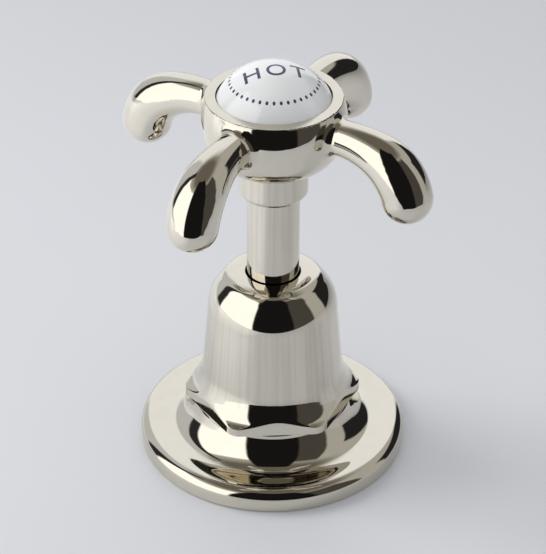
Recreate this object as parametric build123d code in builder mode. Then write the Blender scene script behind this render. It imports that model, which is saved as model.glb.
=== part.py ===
"""Deck-mounted side valve of a three-hole basin mixer, with its quarter-turn headwork.

The origin is the centre of the deck flange's underside, on the deck's top face.
+Z points up along the spindle. A person at the basin stands on the -Y side,
and the outlet under the deck points along +X, towards the spout.
The rest pose is closed. The handle opens anticlockwise by a quarter turn.
All lengths are in millimetres and all angles in degrees.
"""

from build123d import *
from math import asin, cos, degrees, pi, radians, sin, sqrt, tan
import os

os.makedirs("parts", exist_ok=True)

# Clearances
thread_clearance = 0.05
running_clearance = 0.05
lap_gap = 0.02
spline_clearance = 0.05
loose_clearance = 0.3
edge_round = 0.3

# Shank and the deck that it passes through
shank_radius = 14.0
shank_bore_wall = 2.6
socket_wall = 3.47
socket_depth = 12.5
socket_relief = 1.5
shank_above_seat = 12.0
deck_thickness = 20.0

# Deck flange
flange_radius = 30.0
seat_height = 11.5
seat_margin = 0.6
dome_slope = 65.0
dish_slope = 25.0
valley_place = 22.4
valley_height = 4.6
crest_place = 27.2
crest_height = 6.45
bead_centre = 3.84
flange_wall = 2.2
rim_width = 2.8
seal_width = 6.5

# Bell cover with its hexagon skirt
bell_height = 32.4
bell_wall = 1.75
cone_wall = 1.6
skirt_step = 1.8
skirt_lip = 1.5
skirt_turn_off = 0.17
skirt_angle = 3.8
skirt_draft = 4.0
flare_height = 7.5
flare_sag = 0.95
cone_taper = 5.0
shoulder_drop = 10.9
shoulder_side_radius = 13.95
shoulder_side_drop = 5.9
shoulder_top_radius = 11.9
shoulder_top_drop = 2.5
cavity_round = 5.5
bell_hole_gap = 0.4
bell_top_wall = 2.1
cover_seal_width = 1.4
cover_seal_depth = 1.2

# Spindle sleeve: tube and collar
sleeve_radius = 5.78
sleeve_wall = 0.83
sleeve_visible_length = 20.1
collar_radius = 7.54
collar_height = 7.2
collar_round = 1.6
collar_step = 0.35
spigot_height = 1.8
spigot_radius = 6.3

# Cross handle
hub_height = 16.55
hub_top_radius = 14.7
hub_side_radius = 15.3
hub_side_height = 9.4
hub_corner_radius = 14.2
hub_corner_height = 5.0
hub_cone_radius = 12.4
hub_cone_height = 2.6
hub_foot_radius = 8.2
index_radius = 12.14
index_gap = 0.2
index_seat_depth = 3.75
arm_count = 4
arm_angle = -30.7
arm_start_radius = 9.0
arm_start_height = 10.0
arm_arch_radius = 21.5
arm_arch_height = 10.75
arm_tip_reach = 32.1
arm_tip_height = 1.7
arm_root_radius = 4.9
arm_neck_radius = 3.9
arm_bulb_radius = 5.5
arm_neck_place = 0.26
arm_bulb_place = 0.88
arm_station_count = 9
arm_fillet = 2.2

# Porcelain index and what holds it
dome_height = 7.4
index_skirt = 3.4
carrier_thickness = 2.9
carrier_stud_radius = 4.8
carrier_stud_height = 3.6
ring_section = 1.7
ring_squeeze = 0.02
carrier_flange = 1.0

# Handle screw, lock washer and spindle extension
screw_radius = 2.0
screw_head_radius = 3.6
screw_head_height = 2.4
screw_socket_across_flats = 3.0
screw_socket_depth = 1.4
screw_thread_engagement = 7.0
washer_thickness = 0.9
washer_radius = 3.9
washer_slit = 0.8
spline_radius = 4.0
spline_tooth_depth = 0.4
spline_tooth_count = 20
spline_length = 10.0

# Headwork
neck_gap = 3.4
neck_wall = 3.0
hexagon_height = 6.0
hexagon_room = 0.5
body_flange_height = 1.0
body_flange_width = 2.4
body_seal_height = 1.2
body_seal_margin = 0.6
cage_step = 1.18
cage_wall = 1.4
cage_stand_off = 0.7
cage_shoulder_rise = 2.5
disc_clearance = 0.3
disc_height = 3.2
seat_gasket_height = 3.2
seat_gasket_wall = 2.2
port_angle = 76.0
port_inner_radius = 2.2
port_wall = 1.5
key_width = 3.0
key_depth = 0.9
drive_bar_width = 5.0
drive_bar_depth = 1.2
drive_bar_height = 5.1
window_angle = 84.0
window_margin = 0.5
stop_flange_height = 2.0
stop_angle = 18.0
stop_depth = 1.7
handle_travel = 90.0
stop_play = 1.5
thrust_washer_height = 0.6
spindle_radius = 4.5
ring_groove_depth = 1.05
ring_groove_width = 1.3
ring_groove_margin = 2.0
circlip_height = 0.7
circlip_rim = 1.1
circlip_opening = 50.0
circlip_groove_depth = 1.1
spindle_bore_radius = 2.05

# Riser tube inside the shank
riser_radius = 7.0
riser_wall = 2.0
riser_seat_height = 2.5
riser_seat_overhang = 1.7
riser_seal_groove_depth = 1.0
riser_seal_groove_width = 1.3
riser_seal_margin = 2.0

# Tee below the deck
tee_top = -50.0
tee_radius = 16.8
tee_socket_depth = 9.0
chamber_height = 14.0
bulkhead_height = 6.0
pipe_thread_radius = 10.48
pipe_thread_length = 13.0
inlet_bore_radius = 5.8
outlet_bore_radius = 6.3
outlet_boss_radius = 13.0
outlet_boss_reach = 1.5
spanner_flat_depth = 1.3
spanner_flat_height = 9.0
thread_chamfer = 0.8

# Clamp below the deck
under_washer_width = 11.0
under_washer_thickness = 3.0
clamp_washer_width = 10.0
clamp_washer_thickness = 1.5
back_nut_across_flats = 40.0
back_nut_height = 8.0
back_nut_chamfer = 0.9

# Levels along the spindle, worked out from the sizes above
shank_top = seat_height + shank_above_seat
bell_top = seat_height + bell_height
bell_ceiling = bell_top - bell_top_wall
neck_top = bell_ceiling - neck_gap
collar_bottom = bell_top + sleeve_visible_length
hub_bottom = collar_bottom + collar_height
hub_top = hub_bottom + hub_height
index_seat = hub_top - index_seat_depth
index_bottom = index_seat + lap_gap
hub_web_bottom = hub_bottom + spigot_height + loose_clearance
head_top = index_bottom - carrier_flange - loose_clearance
head_bottom = head_top - screw_head_height
washer_bottom = head_bottom - washer_thickness - lap_gap
hub_web_top = washer_bottom - lap_gap
flange_bottom = shank_top + body_seal_height
hexagon_bottom = flange_bottom + body_flange_height
hexagon_top = hexagon_bottom + hexagon_height
socket_bottom = shank_top - socket_depth
body_thread_bottom = socket_bottom + socket_relief
cage_shoulder = body_thread_bottom + cage_shoulder_rise
stop_flange_top = cage_shoulder - thrust_washer_height - lap_gap
stop_flange_bottom = stop_flange_top - stop_flange_height
drive_bar_bottom = stop_flange_bottom - drive_bar_height
moving_disc_top = drive_bar_bottom + drive_bar_depth
moving_disc_bottom = moving_disc_top - disc_height
fixed_disc_top = moving_disc_bottom - lap_gap
fixed_disc_bottom = fixed_disc_top - disc_height
seat_level = fixed_disc_bottom - seat_gasket_height
cage_bottom = seat_level + cage_stand_off
circlip_bottom = neck_top + lap_gap
circlip_top = circlip_bottom + circlip_height
spline_bottom = circlip_top + lap_gap
spindle_top = spline_bottom + spline_length
extension_bottom = circlip_top + loose_clearance
sleeve_bottom = extension_bottom + loose_clearance
shank_bottom = tee_top - tee_socket_depth
chamber_bottom = shank_bottom - chamber_height
tee_bottom = chamber_bottom - bulkhead_height

# Radii worked out from the sizes above
shank_bore = shank_radius - shank_bore_wall
socket_radius = shank_radius - socket_wall
body_thread_radius = socket_radius - thread_clearance
cage_radius = body_thread_radius - cage_step
cage_bore = cage_radius - cage_wall
disc_radius = cage_bore - disc_clearance
bell_bore = shank_radius + thread_clearance
cone_bottom_radius = bell_bore + bell_wall
skirt_apothem = cone_bottom_radius + skirt_step
skirt_corner = skirt_apothem / cos(radians(30)) - skirt_turn_off
flare_top = seat_height + flare_height
bell_hole = sleeve_radius + bell_hole_gap
taper = sin(radians(cone_taper)) / cos(radians(cone_taper))
cone_top = bell_top - shoulder_drop


def cone_radius(height):
    """Outer radius of the bell's cone at a height above the deck."""
    return cone_bottom_radius - (height - flare_top) * taper


def stepped_profile(points, mode=Mode.ADD):
    """Closed outline given by its corners, such as half the section of a turned piece."""
    with BuildLine() as outline:
        Polyline(*points, close=True)
    make_face(outline.edges(), mode=mode)


def ring_profile(inner, outer, bottom, top):
    """Rectangle in the XZ plane that revolves into a plain ring."""
    stepped_profile(((inner, bottom), (outer, bottom), (outer, top), (inner, top)))


def toothed_outline(outer, depth, count):
    """Spline profile with straight-sided teeth."""
    root = outer - depth
    step = 2 * pi / count
    corners = []
    for tooth in range(count):
        for offset, radius in ((-0.32, root), (-0.14, outer), (0.14, outer), (0.32, root)):
            angle = (tooth + offset) * step
            corners.append((radius * cos(angle), radius * sin(angle)))
    stepped_profile(corners)


def sector_outline(inner, outer, middle_angle, width_angle, mode=Mode.ADD):
    """Ring sector between two radii, centred on an angle."""
    start = middle_angle - width_angle / 2
    with BuildLine() as outline:
        outside = CenterArc((0, 0), outer, start, width_angle)
        inside = CenterArc((0, 0), inner, start, width_angle)
        Line(outside @ 0, inside @ 0)
        Line(outside @ 1, inside @ 1)
    make_face(outline.edges(), mode=mode)


# Deck flange. A steep dome falls to a valley, and the dish behind it rises to the rounded rim.
seat_radius = skirt_apothem - seat_margin
dome_lean = tan(radians(dome_slope))
dish_lean = tan(radians(dish_slope))
dome_middle = (seat_height + valley_height) / 2
hollow_height = valley_height - flange_wall
hollow_step = flange_wall / sin(radians(dome_slope))
hollow_roof = seat_height - flange_wall
flange_bore = shank_radius + loose_clearance
rim_inner = flange_radius - rim_width
hollow_rise = crest_height - flange_wall
hollow_turn = rim_inner - (hollow_rise - hollow_height) / dish_lean


def dome_place(height):
    """Radius of the flange's dome at a height, before its corners are rounded."""
    return skirt_apothem + (seat_height - height) / dome_lean


def turned(centre_r, centre_z, radius, angle):
    """Point on a circle of a turned profile, at an angle from the outward direction."""
    return (centre_r + radius * cos(radians(angle)), centre_z + radius * sin(radians(angle)))


with BuildPart() as deck_flange:
    with BuildSketch(Plane.XZ):
        with BuildLine():
            Spline(
                (seat_radius, seat_height),
                (dome_place(dome_middle), dome_middle),
                (valley_place, valley_height),
                (crest_place, crest_height),
                (flange_radius, bead_centre),
                tangents=((1, 0), (0, -1)),
            )
            Polyline(
                (flange_radius, bead_centre),
                (flange_radius, edge_round),
                (flange_radius - edge_round, 0),
                (rim_inner, 0),
                (rim_inner, hollow_rise),
                (hollow_turn, hollow_height),
                (dome_place(hollow_height) - hollow_step, hollow_height),
                (dome_place(hollow_roof) - hollow_step, hollow_roof),
                (flange_bore, hollow_roof),
                (flange_bore, seat_height),
                (seat_radius, seat_height),
            )
        make_face()
    revolve(axis=Axis.Z)
deck_flange.part.label = "deck_flange"
export_step(deck_flange.part, "parts/deck_flange.step")

# Seal ring between the flange and the deck, inside the rim
deck_seal_height = valley_height - flange_wall - lap_gap
with BuildPart() as deck_seal:
    with BuildSketch(Plane.XZ):
        seal_outer = rim_inner - loose_clearance
        ring_profile(seal_outer - seal_width, seal_outer, 0, deck_seal_height)
    revolve(axis=Axis.Z)
    fillet(deck_seal.edges().group_by(Axis.Z)[-1], edge_round)
deck_seal.part.label = "deck_seal"
export_step(deck_seal.part, "parts/deck_seal.step")

# Bell cover: a turned bell whose skirt is cut to a hexagon
bell_step = shank_top + 2 * edge_round
inner_cone_top = bell_ceiling - cavity_round * (1 - sin(radians(cone_taper)))


def cavity_radius(height):
    """Radius of the bell's cavity at a height above the deck."""
    return min(cone_radius(height) - cone_wall, bell_bore)


with BuildPart() as bell_cover:
    with BuildSketch(Plane.XZ):
        with BuildLine():
            lip_top = (skirt_corner, seat_height + skirt_lip)
            cone_foot = (cone_bottom_radius, flare_top)
            shoulder_foot = (cone_radius(cone_top), cone_top)
            chord = (lip_top[0] - cone_foot[0], lip_top[1] - cone_foot[1])
            chord_length = sqrt(chord[0] ** 2 + chord[1] ** 2)
            flare_middle = (
                (lip_top[0] + cone_foot[0]) / 2 + flare_sag * chord[1] / chord_length,
                (lip_top[1] + cone_foot[1]) / 2 - flare_sag * chord[0] / chord_length,
            )
            cavity_foot = (cavity_radius(bell_step), bell_step)
            cavity_shoulder = (cavity_radius(inner_cone_top), inner_cone_top)
            inner_run = cavity_round * cos(radians(cone_taper))
            inner_place = cavity_shoulder[0] - inner_run
            inner_middle = turned(
                inner_place,
                bell_ceiling - cavity_round,
                cavity_round,
                (90 + cone_taper) / 2,
            )
            Line((bell_bore, seat_height), (skirt_corner, seat_height))
            Line((skirt_corner, seat_height), lip_top)
            ThreePointArc(lip_top, flare_middle, cone_foot)
            Line(cone_foot, shoulder_foot)
            Spline(
                shoulder_foot,
                (shoulder_side_radius, bell_top - shoulder_side_drop),
                (shoulder_top_radius, bell_top - shoulder_top_drop),
                (bell_hole, bell_top),
                tangents=((-sin(radians(cone_taper)), cos(radians(cone_taper))), (-1, 0)),
            )
            Line((bell_hole, bell_top), (bell_hole, bell_ceiling))
            Line((bell_hole, bell_ceiling), (inner_place, bell_ceiling))
            ThreePointArc((inner_place, bell_ceiling), inner_middle, cavity_shoulder)
            Line(cavity_shoulder, cavity_foot)
            Line(cavity_foot, (bell_bore, bell_step))
            Line((bell_bore, bell_step), (bell_bore, seat_height))
        make_face()
    revolve(axis=Axis.Z)
    with BuildSketch(Plane.XY.offset(seat_height)):
        RegularPolygon(skirt_apothem, 6, major_radius=False, rotation=skirt_angle)
    extrude(amount=bell_height, taper=skirt_draft, mode=Mode.INTERSECT)
    groove_outer = skirt_apothem - seat_margin - edge_round
    groove_inner = groove_outer - cover_seal_width
    with BuildSketch(Plane.XZ):
        ring_profile(groove_inner, groove_outer, seat_height, seat_height + cover_seal_depth)
    revolve(axis=Axis.Z, mode=Mode.SUBTRACT)
bell_cover.part.label = "bell_cover"
export_step(bell_cover.part, "parts/bell_cover.step")

with BuildPart() as cover_seal:
    with BuildSketch(Plane.XZ):
        ring_profile(
            groove_inner + lap_gap,
            groove_outer - lap_gap,
            seat_height,
            seat_height + cover_seal_depth - lap_gap,
        )
    revolve(axis=Axis.Z)
cover_seal.part.label = "cover_seal"
export_step(cover_seal.part, "parts/cover_seal.step")

# Cross handle: a turned bowl with four lofted arms
index_recess = index_radius + index_gap
carrier_bore = index_recess - 1.5 * ring_section
head_room = screw_head_radius + 2 * loose_clearance
arm_axis_height = hub_bottom + arm_start_height
arm_arch_level = hub_bottom + arm_arch_height
arm_tip_level = hub_bottom + arm_tip_height


def arm_section_radius(place):
    """Radius of the arm at a place along it, from 0 at the root to 1 at the tip's centre."""
    if place < arm_neck_place:
        short = 1 - place / arm_neck_place
        return arm_neck_radius + (arm_root_radius - arm_neck_radius) * short**2
    swell = min((place - arm_neck_place) / (arm_bulb_place - arm_neck_place), 1)
    return arm_neck_radius + (arm_bulb_radius - arm_neck_radius) * (1 - cos(pi * swell)) / 2


with BuildLine(Plane.XZ) as arm_line:
    Spline(
        (arm_start_radius, arm_axis_height),
        (arm_arch_radius, arm_arch_level),
        (arm_tip_reach, arm_tip_level),
        tangents=((1, 0.25), (0.25, -1)),
    )
arm_curve = arm_line.edges()[0]

with BuildPart() as arm:
    for station in range(arm_station_count):
        place = station / (arm_station_count - 1)
        section_plane = Plane(
            origin=arm_curve @ place, x_dir=(0, 1, 0), z_dir=arm_curve % place
        )
        with BuildSketch(section_plane):
            Circle(arm_section_radius(place))
    loft()
    with Locations(Plane(origin=arm_curve @ 1, x_dir=(0, 1, 0), z_dir=arm_curve % 1)):
        Sphere(arm_bulb_radius, arc_size1=0, align=(Align.CENTER, Align.CENTER, Align.MIN))

with BuildPart() as cross_handle:
    with BuildSketch(Plane.XZ):
        with BuildLine():
            rim = (hub_top_radius, hub_top - edge_round)
            rim_top = (hub_top_radius - edge_round, hub_top)
            foot = (hub_foot_radius, hub_bottom)
            Line((0, hub_bottom), foot)
            Spline(
                foot,
                (hub_cone_radius, hub_bottom + hub_cone_height),
                (hub_corner_radius, hub_bottom + hub_corner_height),
                (hub_side_radius, hub_bottom + hub_side_height),
                rim,
                tangents=((1, 0.6), (-0.3, 1)),
            )
            RadiusArc(rim, rim_top, -edge_round)
            Line(rim_top, (0, hub_top))
            Line((0, hub_top), (0, hub_bottom))
        make_face()
    revolve(axis=Axis.Z)
    with PolarLocations(0, arm_count, start_angle=arm_angle):
        add(arm.part)
    closed_curves = cross_handle.edges().filter_by(
        lambda edge: edge.is_closed and edge.geom_type != GeomType.CIRCLE
    )
    arm_joints = closed_curves.sort_by(lambda edge: Vector(edge.center().X, edge.center().Y).length)
    fillet(arm_joints[:arm_count], arm_fillet)
    with BuildSketch(Plane.XZ):
        stepped_profile(
            (
                (0, hub_web_top),
                (head_room, hub_web_top),
                (head_room, index_seat - carrier_thickness - loose_clearance),
                (carrier_bore, index_seat - carrier_thickness - loose_clearance),
                (carrier_bore, index_seat),
                (index_recess, index_seat),
                (index_recess, hub_top),
                (0, hub_top),
            )
        )
    revolve(axis=Axis.Z, mode=Mode.SUBTRACT)
    with BuildSketch(Plane.XZ):
        ring_profile(0, spigot_radius + loose_clearance, hub_bottom, hub_web_bottom)
    revolve(axis=Axis.Z, mode=Mode.SUBTRACT)
    with BuildSketch(Plane.XY.offset(hub_web_bottom)):
        toothed_outline(spline_radius + spline_clearance, spline_tooth_depth, spline_tooth_count)
    extrude(amount=hub_web_top - hub_web_bottom, mode=Mode.SUBTRACT)
cross_handle.part.label = "cross_handle"
export_step(cross_handle.part, "parts/cross_handle.step")

# Porcelain index: a shallow dome on a short wall, with a blind socket below
dome_sphere = (index_radius**2 + dome_height**2) / (2 * dome_height)
dome_foot = index_bottom + index_skirt
stud_hole = carrier_stud_radius + loose_clearance
with BuildPart() as porcelain_index:
    with BuildSketch(Plane.XZ):
        with BuildLine():
            Line((0, index_bottom + carrier_stud_height + loose_clearance), (0, dome_foot + dome_height))
            half_way = degrees(asin(index_radius / dome_sphere)) / 2
            ThreePointArc(
                (0, dome_foot + dome_height),
                turned(0, dome_foot + dome_height - dome_sphere, dome_sphere, 90 - half_way),
                (index_radius, dome_foot),
            )
            Polyline(
                (index_radius, dome_foot),
                (index_radius, index_bottom),
                (stud_hole, index_bottom),
                (stud_hole, index_bottom + carrier_stud_height + loose_clearance),
                (0, index_bottom + carrier_stud_height + loose_clearance),
            )
        make_face()
    revolve(axis=Axis.Z)
    fillet(porcelain_index.edges().group_by(Axis.Z)[0].sort_by(SortBy.LENGTH)[-1], edge_round)
porcelain_index.part.label = "porcelain_index"
export_step(porcelain_index.part, "parts/porcelain_index.step")

# Index carrier: a turned plug with a ring groove and a stud that is cemented into the porcelain
carrier_radius = carrier_bore - running_clearance
carrier_bottom = index_bottom - carrier_thickness
ring_middle = carrier_bottom + carrier_thickness / 2
ring_groove = carrier_bore - ring_section
with BuildPart() as index_carrier:
    with BuildSketch(Plane.XZ):
        stepped_profile(
            (
                (0, index_bottom - carrier_flange),
                (head_room, index_bottom - carrier_flange),
                (head_room, carrier_bottom),
                (carrier_radius, carrier_bottom),
                (carrier_radius, ring_middle - ring_section / 2),
                (ring_groove, ring_middle - ring_section / 2),
                (ring_groove, ring_middle + ring_section / 2),
                (carrier_radius, ring_middle + ring_section / 2),
                (carrier_radius, index_bottom),
                (carrier_stud_radius, index_bottom),
                (carrier_stud_radius, index_bottom + carrier_stud_height),
                (0, index_bottom + carrier_stud_height),
            )
        )
    revolve(axis=Axis.Z)
index_carrier.part.label = "index_carrier"
export_step(index_carrier.part, "parts/index_carrier.step")

with BuildPart() as index_o_ring:
    with BuildSketch(Plane.XZ):
        with Locations((carrier_bore - ring_section / 2, ring_middle)):
            Circle(ring_section / 2 - ring_squeeze)
    revolve(axis=Axis.Z)
index_o_ring.part.label = "index_o_ring"
export_step(index_o_ring.part, "parts/index_o_ring.step")

# Split spring washer and the long socket screw that clamps the hub to the spindle
with BuildPart() as lock_washer:
    with BuildSketch(Plane.XY.offset(washer_bottom)):
        Circle(washer_radius)
        Circle(screw_radius + loose_clearance, mode=Mode.SUBTRACT)
        with Locations((washer_radius / 2, 0)):
            Rectangle(washer_radius, washer_slit, rotation=0, mode=Mode.SUBTRACT)
    extrude(amount=washer_thickness)
lock_washer.part.label = "lock_washer"
export_step(lock_washer.part, "parts/lock_washer.step")

# Radii of the headwork
extension_radius = sleeve_radius - sleeve_wall - running_clearance
spindle_bore = spindle_radius + running_clearance
hexagon_corner = cavity_radius(hexagon_top) - hexagon_room
hexagon_apothem = hexagon_corner * cos(radians(30))
body_flange_radius = min(body_thread_radius + body_flange_width, hexagon_corner)
neck_radius = spindle_bore + neck_wall

screw_bottom = spindle_top - screw_thread_engagement
with BuildPart() as handle_screw:
    with BuildSketch(Plane.XZ):
        stepped_profile(
            (
                (0, screw_bottom),
                (screw_radius, screw_bottom),
                (screw_radius, head_bottom),
                (screw_head_radius, head_bottom),
                (screw_head_radius, head_bottom + screw_head_height),
                (0, head_bottom + screw_head_height),
            )
        )
    revolve(axis=Axis.Z)
    chamfer(handle_screw.edges().group_by(Axis.Z)[-1], edge_round)
    chamfer(handle_screw.edges().group_by(Axis.Z)[0], edge_round)
    with BuildSketch(Plane.XY.offset(head_bottom + screw_head_height)):
        RegularPolygon(screw_socket_across_flats / 2, 6, major_radius=False)
    extrude(amount=-screw_socket_depth, mode=Mode.SUBTRACT)
handle_screw.part.label = "handle_screw"
export_step(handle_screw.part, "parts/handle_screw.step")

# Spindle sleeve: the polished tube with its collar and the spigot that centres the hub
sleeve_bore = sleeve_radius - sleeve_wall
with BuildPart() as spindle_sleeve:
    with BuildSketch(Plane.XZ):
        with BuildLine():
            collar_foot = (sleeve_radius + collar_step, collar_bottom)
            collar_side = (collar_radius, collar_bottom + collar_round)
            Line((sleeve_bore, sleeve_bottom), (sleeve_radius, sleeve_bottom))
            Line((sleeve_radius, sleeve_bottom), (sleeve_radius, collar_bottom))
            Line((sleeve_radius, collar_bottom), collar_foot)
            ThreePointArc(
                collar_foot,
                (
                    collar_foot[0] + (collar_side[0] - collar_foot[0]) * sin(radians(45)),
                    collar_side[1] - collar_round * cos(radians(45)),
                ),
                collar_side,
            )
            Polyline(
                collar_side,
                (collar_radius, hub_bottom),
                (spigot_radius, hub_bottom),
                (spigot_radius, hub_bottom + spigot_height),
                (spline_radius + running_clearance, hub_bottom + spigot_height),
                (spline_radius + running_clearance, hub_bottom + lap_gap),
                (sleeve_bore, hub_bottom + lap_gap),
                (sleeve_bore, sleeve_bottom),
            )
        make_face()
    revolve(axis=Axis.Z)
spindle_sleeve.part.label = "spindle_sleeve"
export_step(spindle_sleeve.part, "parts/spindle_sleeve.step")

# Spindle extension: a rod bored for the screw, with a splined socket below and a spline on top
with BuildPart() as spindle_extension:
    with BuildSketch(Plane.XY.offset(extension_bottom)):
        Circle(extension_radius)
    extrude(amount=hub_bottom - extension_bottom)
    with BuildSketch(Plane.XY.offset(hub_bottom)):
        toothed_outline(spline_radius, spline_tooth_depth, spline_tooth_count)
    extrude(amount=hub_web_top - loose_clearance - hub_bottom)
    with BuildSketch(Plane.XY.offset(extension_bottom)):
        toothed_outline(spline_radius + spline_clearance, spline_tooth_depth, spline_tooth_count)
    extrude(amount=spindle_top + loose_clearance - extension_bottom, mode=Mode.SUBTRACT)
    with BuildSketch(Plane.XY.offset(extension_bottom)):
        Circle(screw_radius + loose_clearance)
    extrude(amount=hub_web_top - extension_bottom, mode=Mode.SUBTRACT)
spindle_extension.part.label = "spindle_extension"
export_step(spindle_extension.part, "parts/spindle_extension.step")

# Spindle: drive bar, stop flange, ring grooves, circlip groove and spline
ring_groove_radius = spindle_radius - ring_groove_depth
lower_ring = cage_shoulder + ring_groove_margin
upper_ring = neck_top - ring_groove_margin
circlip_groove_radius = spindle_radius - circlip_groove_depth
stop_inner = cage_bore - stop_depth
with BuildPart() as spindle:
    with BuildSketch(Plane.XZ):
        stepped_profile(
            (
                (0, stop_flange_bottom),
                (disc_radius, stop_flange_bottom),
                (disc_radius, stop_flange_top),
                (spindle_radius, stop_flange_top),
                (spindle_radius, lower_ring - ring_groove_width / 2),
                (ring_groove_radius, lower_ring - ring_groove_width / 2),
                (ring_groove_radius, lower_ring + ring_groove_width / 2),
                (spindle_radius, lower_ring + ring_groove_width / 2),
                (spindle_radius, upper_ring - ring_groove_width / 2),
                (ring_groove_radius, upper_ring - ring_groove_width / 2),
                (ring_groove_radius, upper_ring + ring_groove_width / 2),
                (spindle_radius, upper_ring + ring_groove_width / 2),
                (spindle_radius, circlip_bottom - lap_gap),
                (circlip_groove_radius, circlip_bottom - lap_gap),
                (circlip_groove_radius, spline_bottom),
                (0, spline_bottom),
            )
        )
    revolve(axis=Axis.Z)
    with BuildSketch(Plane.XY.offset(spline_bottom)):
        toothed_outline(spline_radius, spline_tooth_depth, spline_tooth_count)
    extrude(amount=spline_length)
    with BuildSketch(Plane.XY.offset(drive_bar_bottom)):
        Circle(disc_radius)
        Rectangle(drive_bar_width, 2 * cage_bore, mode=Mode.INTERSECT)
    extrude(amount=drive_bar_height)
    with BuildSketch(Plane.XY.offset(stop_flange_bottom)):
        sector_outline(
            stop_inner - loose_clearance,
            cage_bore,
            270 - handle_travel / 2,
            handle_travel + stop_angle + 2 * stop_play,
        )
    extrude(amount=stop_flange_height, mode=Mode.SUBTRACT)
    with BuildSketch(Plane.XY.offset(spindle_top)):
        Circle(spindle_bore_radius)
    extrude(amount=-screw_thread_engagement - loose_clearance, mode=Mode.SUBTRACT)
spindle.part.label = "spindle"
export_step(spindle.part, "parts/spindle.step")

ring_band = spindle_bore - ring_groove_radius
for ring_name, ring_level in (("lower", lower_ring), ("upper", upper_ring)):
    with BuildPart() as spindle_o_ring:
        with BuildSketch(Plane.XZ):
            with Locations((ring_groove_radius + ring_band / 2, ring_level)):
                Circle(ring_band / 2 - running_clearance)
        revolve(axis=Axis.Z)
    spindle_o_ring.part.label = "spindle_o_ring_" + ring_name
    export_step(spindle_o_ring.part, "parts/spindle_o_ring_" + ring_name + ".step")

with BuildPart() as circlip:
    with BuildSketch(Plane.XY.offset(circlip_bottom)):
        Circle(circlip_groove_radius + lap_gap + circlip_groove_depth + circlip_rim)
        Circle(circlip_groove_radius + lap_gap, mode=Mode.SUBTRACT)
        sector_outline(lap_gap, 2 * spindle_radius, 0, circlip_opening, mode=Mode.SUBTRACT)
    extrude(amount=circlip_height)
circlip.part.label = "circlip"
export_step(circlip.part, "parts/circlip.step")

with BuildPart() as thrust_washer:
    with BuildSketch(Plane.XZ):
        ring_profile(
            spindle_radius + running_clearance,
            stop_inner - loose_clearance,
            stop_flange_top + lap_gap / 2,
            stop_flange_top + lap_gap / 2 + thrust_washer_height,
        )
    revolve(axis=Axis.Z)
thrust_washer.part.label = "thrust_washer"
export_step(thrust_washer.part, "parts/thrust_washer.step")

# Ceramic discs with two ports each. The moving one has a slot for the drive bar.
port_outer = disc_radius - port_wall
with BuildPart() as moving_disc:
    with BuildSketch(Plane.XY.offset(moving_disc_bottom)):
        Circle(disc_radius)
        for side in (0, 180):
            sector_outline(port_inner_radius, port_outer, side, port_angle, mode=Mode.SUBTRACT)
    extrude(amount=disc_height)
    with BuildSketch(Plane.XY.offset(drive_bar_bottom)):
        Rectangle(drive_bar_width + 2 * running_clearance, 3 * cage_bore)
    extrude(amount=2 * drive_bar_depth, mode=Mode.SUBTRACT)
moving_disc.part.label = "moving_disc"
export_step(moving_disc.part, "parts/moving_disc.step")

key_reach = disc_radius + key_depth
with BuildPart() as fixed_disc:
    with BuildSketch(Plane.XY.offset(fixed_disc_bottom)):
        Circle(disc_radius)
        Rectangle(2 * key_reach, key_width)
        for side in (0, 180):
            sector_outline(port_inner_radius, port_outer, 90 + side, port_angle, mode=Mode.SUBTRACT)
    extrude(amount=disc_height)
fixed_disc.part.label = "fixed_disc"
export_step(fixed_disc.part, "parts/fixed_disc.step")

with BuildPart() as seat_gasket:
    with BuildSketch(Plane.XZ):
        ring_profile(
            disc_radius - seat_gasket_wall,
            disc_radius,
            seat_level,
            fixed_disc_bottom - lap_gap / 2,
        )
    revolve(axis=Axis.Z)
seat_gasket.part.label = "seat_gasket"
export_step(seat_gasket.part, "parts/seat_gasket.step")

# Headwork body: hexagon, thread, cage with two windows, key slots and the stop lug
key_slot = key_reach + running_clearance
window_height = stop_flange_bottom - moving_disc_top - 2 * window_margin
with BuildPart() as headwork_body:
    with BuildSketch(Plane.XZ):
        stepped_profile(
            (
                (cage_bore, cage_bottom),
                (cage_radius, cage_bottom),
                (cage_radius, body_thread_bottom),
                (body_thread_radius, body_thread_bottom),
                (body_thread_radius, flange_bottom),
                (body_flange_radius, flange_bottom),
                (body_flange_radius, hexagon_bottom),
                (neck_radius, hexagon_bottom),
                (neck_radius, neck_top),
                (spindle_bore, neck_top),
                (spindle_bore, cage_shoulder),
                (cage_bore, cage_shoulder),
            )
        )
    revolve(axis=Axis.Z)
    with BuildSketch(Plane.XY.offset(hexagon_bottom)):
        RegularPolygon(hexagon_apothem, 6, major_radius=False)
        Circle(spindle_bore, mode=Mode.SUBTRACT)
    extrude(amount=hexagon_height)
    with BuildSketch(Plane.XY.offset(stop_flange_bottom + lap_gap)):
        sector_outline(stop_inner, cage_bore + cage_wall / 2, 270, stop_angle)
    extrude(amount=cage_shoulder - stop_flange_bottom)
    with BuildSketch(Plane.XY.offset(moving_disc_top + window_margin)):
        for side in (90, 270):
            sector_outline(stop_inner, shank_radius, side, window_angle)
    extrude(amount=window_height, mode=Mode.SUBTRACT)
    with BuildSketch(Plane.XY.offset(cage_bottom)):
        Rectangle(2 * key_slot, key_width + 2 * running_clearance)
    extrude(amount=fixed_disc_top - cage_bottom, mode=Mode.SUBTRACT)
    chamfer(headwork_body.edges().group_by(Axis.Z)[-1].sort_by(Edge.length)[-1], edge_round)
headwork_body.part.label = "headwork_body"
export_step(headwork_body.part, "parts/headwork_body.step")

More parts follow.
